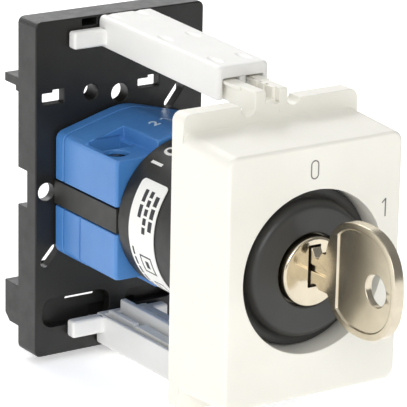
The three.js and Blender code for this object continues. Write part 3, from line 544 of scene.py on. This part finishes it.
def sleeve(node, name, s, levels, ear_high, ear_low):
    """
    Tapered channel that is open towards the switch. The levels are its free edge and closed side
    in front and at the plate, its left and right side at the plate, and two rib edges.
    """
    front, back_y = SLEEVE_FRONT, PLATE_FRONT_Y
    free0, closed0, free1, closed1, left1, right1, middle, side_rib = levels
    wide0, inner, ceiling, nose = 5.3, 4.2, 28.9, 0.8
    slope = (closed1 - closed0) / (back_y - front)

    def span(a, b):
        return sorted((s * a, s * b))

    rings = []
    for i in range(6):
        a = math.pi / 2 * i / 5
        inset = nose * (1 - math.sin(a))
        outline = channel_outline(inset - wide0, wide0 - inset, free0, closed0 - inset * 0.45, s)
        rings.append((front + nose * (1 - math.cos(a)), outline))
    rings.append((back_y, channel_outline(left1, right1, free1, closed1, s)))
    body = loft(rings)
    channel = solid_box(-inner, inner, front - OVERLAP, back_y - 1.6, *span(24, ceiling))
    boolean(body, [channel], "DIFFERENCE")
    rounded(body, 0.28, 3, 42)
    ribs = []
    for x0, x1, y0, y1, edge in (
        (-0.62, 0.72, front + 0.2, -43.0, 26.6), (-0.61, 0.71, -44.0, back_y - 1.3, middle),
        (-3.1, -1.9, -16.9, back_y - 1.2, side_rib), (1.8, 2.9, -16.9, back_y - 1.25, side_rib),
    ):
        ribs.append(rounded(solid_box(x0, x1, y0, y1, *span(edge, ceiling + 0.4)), 0.32, 4, 40))
    clip = solid_box(-3.5, 3.5, back_y - 0.5, -3.3, *span(27.2, 28.8))
    barb = solid_box(-4.4, 4.4, -3.95, -3.31, *span(27.21, 28.79))
    left = ear(-11.4, left1 + 0.35, back_y, left1 - 0.9, *span(ear_low, ear_high))
    right = ear(9.6, right1 - 0.4, back_y, right1 + 1.0, *span(ear_low, ear_high + 0.4))
    boolean(body, ribs + [clip, barb, left, right], "UNION")
    dimples = []
    for t in (-1, 1):
        for y in (-8.4, -25.8, -41.6):
            z = closed0 + slope * (y - front)
            dimples.append(dimple(t * 2.9, y, s * (z + 0.98)))
    boolean(body, dimples, "DIFFERENCE")
    return finished(flatten(body), name, COOL, "base", [node])


def channel_outline(left, right, free, closed, s):
    """Section (x, z) of a sleeve: square at its free edge, rounded at its closed side."""
    r = 0.95
    points = [(left, s * free), (right, s * free)]
    for cx, start in ((right - r, 0), (left + r, 90)):
        for i in range(7):
            a = math.radians(start + 90 * i / 6)
            points.append((cx + r * math.cos(a), s * (closed - r + r * math.sin(a))))
    return points


def ear(tip, root, back_y, ramp, z0, z1):
    """Flat ear lying on the plate, with a ramp where it meets the channel."""
    deep = back_y - 2.3
    side = [(tip, back_y), (tip, deep), (ramp, deep), ((root + ramp) / 2, deep - 0.3),
            (root, deep - 0.9), (root, back_y)]
    plate = skin([[(x, y, z) for x, y in side] for z in (z0, z1)], "ear")
    return rounded(plate, 0.55, 4, 30)


def dimple(x, y, z):
    """Long shallow ball that is cut out of a sleeve's closed side."""
    bm = bmesh.new()
    bmesh.ops.create_uvsphere(bm, u_segments=40, v_segments=28, radius=1)
    bmesh.ops.scale(bm, verts=bm.verts, vec=(1.5, 3.7, 1.3))
    bmesh.ops.translate(bm, verts=bm.verts, vec=(x, y, z))
    return temp("dimple", bm)


sleeve("sleeve_top", "sleeve_top_moulding", 1,
       (25.2, 31.1, 26.3, 31.9, -4.9, 6.6, 26.6, 26.0), 29.8, 26.6)
sleeve("sleeve_bottom", "sleeve_bottom_moulding", -1,
       (24.6, 30.6, 25.0, 31.2, -4.9, 6.0, 22.8, 24.5), 28.5, 25.2)


# ------------------------------------------------------------------ drum, bezel and lock
def drum():
    """Rear half of the drum, hollowed behind, with two notches and a small pin."""
    y0, y1 = DRUM_LOW[1], DRUM_HIGH[1]
    outer = (
        [(DRUM_R - 1.9, y0)] + fillet(DRUM_R - 0.25, y0, DRUM_R, y0 + 0.25, 4)
        + [(DRUM_R, y1 - 0.35)] + fillet(DRUM_R, y1 - 0.35, DRUM_R - 0.35, y1, 5, True)
        + [(3.1, y1), (3.1, y1 - 1.8), (DRUM_R - 2.0, y1 - 1.8)]
    )
    body = lathe(outer, 128)
    cuts = []
    for s in (-1, 1):
        x = sorted((s * 12.4, s * 13.97))
        cuts.append(solid_box(*x, y1 - 3.0, y1 + OVERLAP, -1.9, 1.9))
    boolean(body, cuts, "DIFFERENCE")
    boolean(body, [rod_y(1.2, -34.6, -29.0, 0, -6.6, 24)], "UNION")
    return finished(body, "drum_rear", DRUM, "base", ["index_housing"], 30)


def shell():
    """Front half of the drum."""
    y0, y1 = SHELL_LOW[1], SHELL_HIGH[1]
    profile = (
        [(8.9, y0)] + fillet(DRUM_R - 0.25, y0, DRUM_R, y0 + 0.25, 4)
        + fillet(DRUM_R, y1 - 0.25, DRUM_R - 0.25, y1, 4, True)
        + [(7.3, y1), (7.3, y1 - 2.0), (8.9, y1 - 2.0)]
    )
    return finished(lathe(profile, 128), "drum_front", DRUM, "base",
                    ["lock_shell"], 30)


def bezel():
    """Dark ring with a raised middle and a soft step down to its flat rim."""
    front, rear = BEZEL_LOW[1], BEZEL_HIGH[1]
    step = front + 2.9
    r = BEZEL_HIGH[0]
    profile = [(6.5, front + 0.35)]
    profile += fillet(6.5, front + 0.35, 6.85, front, 5, True)
    profile += [(10.2, front), (10.7, front + 0.03)]
    profile += [(10.7 + 1.45 * math.sin(a), front + 0.03 + 2.0 * (1 - math.cos(a)))
                for a in (math.pi / 2 * i / 10 for i in range(1, 11))]
    profile += [(12.22, step - 0.5), (12.45, step - 0.2), (12.8, step - 0.04), (13.2, step)]
    profile += fillet(r - 0.35, step, r, step + 0.35, 5)
    profile += [(r, rear), (10.5, rear), (10.5, front + 2.2), (6.5, front + 2.2)]
    return finished(lathe(profile, 144), "bezel_moulding", BEZEL, "base",
                    ["bezel_ring"], 28)


def plug():
    """Turned lock plug with the key's slot in its face and a flat tail."""
    front = PLUG_LOW[1]
    r = PLUG_HIGH[0]
    profile = [(0, front + 0.02), (3.0, front + 0.015), (5.55, front)]
    profile += fillet(5.6, front, r, front + 0.5, 6)
    profile += [(r, front + 3.3), (5.5, front + 3.3), (5.5, front + 25.0), (0, front + 25.0)]
    body = lathe(profile, 112)
    boolean(body, [solid_box(-1.25, 1.25, front + 24.5, PLUG_HIGH[1], -3.9, 3.9)], "UNION")
    slot = solid_box(-1.25, 1.25, front - OVERLAP, front + 21.8, 1.1 - 3.7, 1.1 + 3.7)
    boolean(body, [slot], "DIFFERENCE")
    rounded(body, 0.07, 2, 50)
    return finished(body, "plug_turned", NICKEL, "plug_train", ["lock_plug"], 30)


drum()
shell()
bezel()
plug()


# ------------------------------------------------------------------ key
moulded("key", "key_blank", BRUSHED, "key", 0.16, 3, 40)


# ------------------------------------------------------------------ label and its print
def thickened(ob, thickness):
    mod = ob.modifiers.new("thick", "SOLIDIFY")
    mod.thickness = thickness
    mod.offset = 0
    return settle(ob)


def wrapped(points_faces, radius, name):
    """Puts flat faces of (angle in radians, y) points on a cylinder round the lock axis."""
    bm = bmesh.new()
    for loop in points_faces:
        verts = [bm.verts.new((radius * math.cos(a), y, radius * math.sin(a))) for a, y in loop]
        bm.faces.new(verts)
    bmesh.ops.remove_doubles(bm, verts=bm.verts, dist=1e-4)
    bmesh.ops.recalc_face_normals(bm, faces=bm.faces)
    return temp(name, bm)


def patch(a0, a1, y0, y1, n):
    """Quads of one printed bar between two angles (degrees)."""
    out = []
    for i in range(n):
        p = math.radians(a0 + (a1 - a0) * i / n)
        q = math.radians(a0 + (a1 - a0) * (i + 1) / n)
        out.append([(p, y0), (q, y0), (q, y1), (p, y1)])
    return out


def film(points_faces, radius, thick, name, material, slot, replaced=()):
    ob = thickened(wrapped(points_faces, radius, name), thick)
    return finished(ob, name, material, "base", replaced, 30)


LABEL_FROM, LABEL_TO = 141.0, 262.0
L0, L1 = LABEL_LOW[1], LABEL_HIGH[1]


def label():
    """White film with rounded corners, closed mesh, lying on the drum."""
    n, r = 60, 0.9
    r_deg = math.degrees(r / DRUM_R)
    loops = []
    columns = []
    for i in range(n + 1):
        columns.append(LABEL_FROM + (LABEL_TO - LABEL_FROM) * i / n)
    for k in range(1, 6):
        columns.append(LABEL_FROM + r_deg * (1 - math.cos(math.pi / 2 * k / 6)))
        columns.append(LABEL_TO - r_deg * (1 - math.cos(math.pi / 2 * k / 6)))
    columns = sorted(columns)

    def inset(a):
        d = min(a - LABEL_FROM, LABEL_TO - a) / r_deg
        return 0.0 if d >= 1 else r * (1 - math.sqrt(max(0.0, 1 - (1 - d) ** 2)))

    for a, b in zip(columns, columns[1:]):
        p, q = math.radians(a), math.radians(b)
        ia, ib = inset(a), inset(b)
        loops.append([(p, L0 + ia), (q, L0 + ib), (q, L1 - ib), (p, L1 - ia)])
    return film(loops, DRUM_R + 0.14, 0.12, "label_film", LABEL, "label_white", ["type_label"])


def label_print():
    """Plain bars and two plain frames: generic marks that say nothing."""
    bars = []
    rows = [
        (L0 + 1.45, 1.15, [(150 + 9.2 * i, 157.4 + 9.2 * i) for i in range(3)]),
        (L0 + 3.35, 1.0, [(148 + 6.6 * i, 152.8 + 6.6 * i) for i in range(5)]),
        (L0 + 5.15, 1.0, [(148 + 11.4 * i, 157.2 + 11.4 * i) for i in range(2)]),
        (L1 - 1.0, 0.5, [(192 + 8.4 * i, 198.4 + 8.4 * i) for i in range(7)]),
    ]
    for y, height, spans in rows:
        for a, b in spans:
            bars += patch(a, b, y - height / 2, y + height / 2, 3)
    frames = ((196, 211, L0 + 1.6, L0 + 5.2, 0.3), (221, 243, L0 + 1.9, L0 + 4.9, 0.22))
    for a0, a1, y0, y1, w in frames:
        wide = math.degrees(w / DRUM_R)
        bars += patch(a0, a0 + wide, y0, y1, 1)
        bars += patch(a1 - wide, a1, y0, y1, 1)
        bars += patch(a0 + wide, a1 - wide, y0, y0 + w, 10)
        bars += patch(a0 + wide, a1 - wide, y1 - w, y1, 10)
    bars += patch(200.5, 206.5, L0 + 2.9, L0 + 3.9, 4)
    return film(bars, DRUM_R + 0.215, 0.02, "label_print", DARK_INK, "label_white")


def numerals():
    """Two plain dial figures on the drum's rear edge."""
    radius = DRUM_R + 0.015
    out = []
    for text, start in (("0", 109.0), ("1", 123.0)):
        ob = figure(text, 3.4)
        for v in ob.data.vertices:
            a = math.radians(start) + v.co.x / DRUM_R
            y = DRUM_HIGH[1] - 2.6 - v.co.y
            v.co = (radius * math.cos(a), y, radius * math.sin(a))
        out.append(ob)
    bm = bmesh.new()
    for ob in out:
        bm.from_mesh(ob.data)
        bpy.data.objects.remove(ob)
    ob = thickened(temp("numerals", bm), 0.03)
    return finished(ob, "drum_figures", WHITE_INK, "base", (), 30)


def figure(text, height):
    """A flat figure as a mesh, its lower left corner at the origin, height in mm."""
    curve = bpy.data.curves.new("figure", "FONT")
    curve.body = text
    curve.size = height / 0.71
    curve.resolution_u = 6
    curve.offset = 0.06
    ob = bpy.data.objects.new("figure", curve)
    scene.collection.objects.link(ob)
    bpy.context.view_layer.update()
    graph = bpy.context.evaluated_depsgraph_get()
    me = bpy.data.meshes.new_from_object(ob.evaluated_get(graph))
    bpy.data.objects.remove(ob)
    ob = bpy.data.objects.new("figure_mesh", me)
    scene.collection.objects.link(ob)
    return ob


def stroke(points, width, closed=False):
    """Flat ribbon along (x, z) points, as quads in the X-Z plane."""
    n = len(points)
    left, right = [], []
    for i, (x, z) in enumerate(points):
        a = points[(i - 1) % n] if closed or i else points[0]
        b = points[(i + 1) % n] if closed or i < n - 1 else points[-1]
        dx, dz = b[0] - a[0], b[1] - a[1]
        d = math.hypot(dx, dz) or 1.0
        nx, nz = -dz / d * width / 2, dx / d * width / 2
        left.append((x + nx, z + nz))
        right.append((x - nx, z - nz))
    quads = []
    for i in range(n if closed else n - 1):
        j = (i + 1) % n
        quads.append([left[i], left[j], right[j], right[i]])
    return quads


def cover_figures():
    """Thin printed 0 above the lock and 1 at sixty degrees clockwise."""
    quads = []
    zero = []
    for cz, start in ((0.85, 0), (-0.85, 180)):
        for i in range(9):
            a = math.radians(start + 180 * i / 8)
            zero.append((0.72 * math.cos(a) - 0.5, 18.05 + cz + 0.72 * math.sin(a)))
    quads += stroke(zero, 0.24, True)
    cx, cz = 17.1 * math.sin(math.radians(59)), 17.1 * math.cos(math.radians(59))
    quads += stroke([(cx - 0.15, cz - 1.25), (cx - 0.15, cz + 2.0)], 0.26)
    quads += stroke([(cx - 0.13, cz + 1.95), (cx - 0.89, cz + 1.25)], 0.24)
    bm = bmesh.new()
    for quad in quads:
        bm.faces.new([bm.verts.new((x, FACE_Y - INK_MM / 2, z)) for x, z in quad])
    bmesh.ops.remove_doubles(bm, verts=bm.verts, dist=1e-4)
    ob = thickened(temp("cover_figures", bm), INK_MM)
    return finished(ob, "cover_print", GREY_INK, "cover", (), 30)


def roof(x):
    """Height of the block's roof-shaped top at x, just above the surface."""
    points = [(0.0, 14.8), (1.0, 14.73), (2.4, 14.5), (5.0, 13.85), (9.0, 12.75)]
    x = abs(x)
    for (x0, z0), (x1, z1) in zip(points, points[1:]):
        if x <= x1:
            return z0 + (z1 - z0) * (x - x0) / (x1 - x0) + INK_MM / 2
    return points[-1][1]


def roof_figures():
    """Small plain figure and a line printed on the roof of the block."""
    ob = figure("2", 2.3)
    for v in ob.data.vertices:
        x = v.co.x - 2.6
        v.co = (x, v.co.y + FACE_Y + 46.4, roof(x))
    bm = bmesh.new()
    bm.from_mesh(ob.data)
    bpy.data.objects.remove(ob)
    for x0, y0, x1, y1 in ((0.2, 48.6, 1.2, 49.3), (1.2, 49.3, 2.9, 47.3), (2.9, 47.3, 3.9, 48.0)):
        dx, dy = x1 - x0, y1 - y0
        d = math.hypot(dx, dy)
        nx, ny = -dy / d * 0.17, dx / d * 0.17
        steps = 4
        for i in range(steps):
            px, py = x0 + dx * i / steps, y0 + dy * i / steps
            qx, qy = x0 + dx * (i + 1) / steps, y0 + dy * (i + 1) / steps
            corners = (
                (px + nx, py + ny), (qx + nx, qy + ny), (qx - nx, qy - ny), (px - nx, py - ny),
            )
            bm.faces.new([bm.verts.new((x, y + FACE_Y, roof(x))) for x, y in corners])
    bmesh.ops.remove_doubles(bm, verts=bm.verts, dist=1e-4)
    made = thickened(temp("roof_figures", bm), INK_MM)
    return finished(made, "block_print", PALE_INK, "base", (), 30)


label()
label_print()
numerals()
cover_figures()
roof_figures()


# ------------------------------------------------------------------ carried-over CAD nodes
def keep(nodes, material):
    """CAD nodes that stay as they are, with a better material."""
    for node in nodes:
        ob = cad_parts[node]
        ob.data.materials.clear()
        ob.data.materials.append(material)


keep(["latch_spring_left", "latch_spring_right", "contact_spring_top", "contact_spring_bottom",
      "plate_screw_top", "plate_screw_bottom", "drive_shaft", "barrel_nut"], STEEL)
# The terminal screws take the darkened steel: painted shade for their deep shafts
keep([f"terminal_screw_{i}" for i in range(1, 5)], PAINTED_SHADE_STEEL)
keep([f"clamp_plate_{i}" for i in range(1, 5)], STEEL)
keep([f"fixed_contact_{i}" for i in range(1, 5)], BRASS)
keep(["contact_bridge_top", "contact_bridge_bottom"], SILVER)
keep(["contact_carrier_top", "contact_carrier_bottom"], IVORY)
keep(["cam_rotor", "stop_disc"], ROTOR)
keep(["lock_barrel"], ZINC)


# ------------------------------------------------------------------ floor and light
FLOOR_GLOW, WORLD_GLOW = 0.42, 0.25
FLOOR_GAP = 0.0004


def floor():
    """Pale paper under the object, curving up behind it; sizes in metres."""
    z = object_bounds()[0].z - FLOOR_GAP
    bm = bmesh.new()
    side, near, rear, rise, bend = 1.6, -1.4, 1.3, 1.2, 0.35
    profile = [(near, 0.0)]
    profile += [(rear - bend + bend * math.sin(a), bend * (1 - math.cos(a)))
                for a in (math.pi / 2 * i / 12 for i in range(13))]
    profile.append((rear, rise))
    rows = []
    for x in (-side, side):
        rows.append([bm.verts.new((x, y, z + h)) for y, h in profile])
    for i in range(len(profile) - 1):
        bm.faces.new((rows[0][i], rows[1][i], rows[1][i + 1], rows[0][i + 1]))
    me = bpy.data.meshes.new("floor")
    bm.normal_update()
    bm.to_mesh(me)
    bm.free()
    ob = bpy.data.objects.new("floor", me)
    scene.collection.objects.link(ob)
    me.polygons.foreach_set("use_smooth", [True] * len(me.polygons))
    m, tree, bsdf = shader("floor_paper")
    bsdf.inputs["Base Color"].default_value = (0.96, 0.96, 0.96, 1)
    bsdf.inputs["Roughness"].default_value = 0.9
    bsdf.inputs["Specular IOR Level"].default_value = 0.1
    bsdf.inputs["Emission Color"].default_value = (1, 1, 1, 1)
    bsdf.inputs["Emission Strength"].default_value = FLOOR_GLOW
    me.materials.append(m)
    ob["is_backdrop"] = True


def area(name, where, target, size, power):
    """White rectangular light aimed at a point; metres and watts."""
    data = bpy.data.lights.new(name, "AREA")
    data.shape = "RECTANGLE"
    data.size, data.size_y = size
    data.energy = power
    ob = bpy.data.objects.new(name, data)
    scene.collection.objects.link(ob)
    ob.location = where
    ob.rotation_euler = (Vector(target) - Vector(where)).to_track_quat("-Z", "Y").to_euler()


floor()
AIM = (0, -0.045, 0)
area("front_left", (-0.6, -0.95, 0.55), AIM, (0.7, 0.7), 5.7)
area("high_front", (-0.25, -0.75, 1.0), AIM, (0.6, 0.5), 0.5)
area("left", (-1.0, -0.25, 0.35), AIM, (0.8, 0.8), 2.0)
area("rear", (0.2, 0.8, 0.75), AIM, (0.9, 0.5), 5.6)
area("top", (0.0, -0.1, 1.0), AIM, (1.1, 1.1), 2.0)
world = bpy.data.worlds.new("studio")
world.use_nodes = True
sky = world.node_tree.nodes["Background"]
sky.inputs["Color"].default_value = (1, 1, 1, 1)
sky.inputs["Strength"].default_value = WORLD_GLOW
scene.world = world
scene.view_settings.view_transform = "Standard"
scene.view_settings.look = "None"
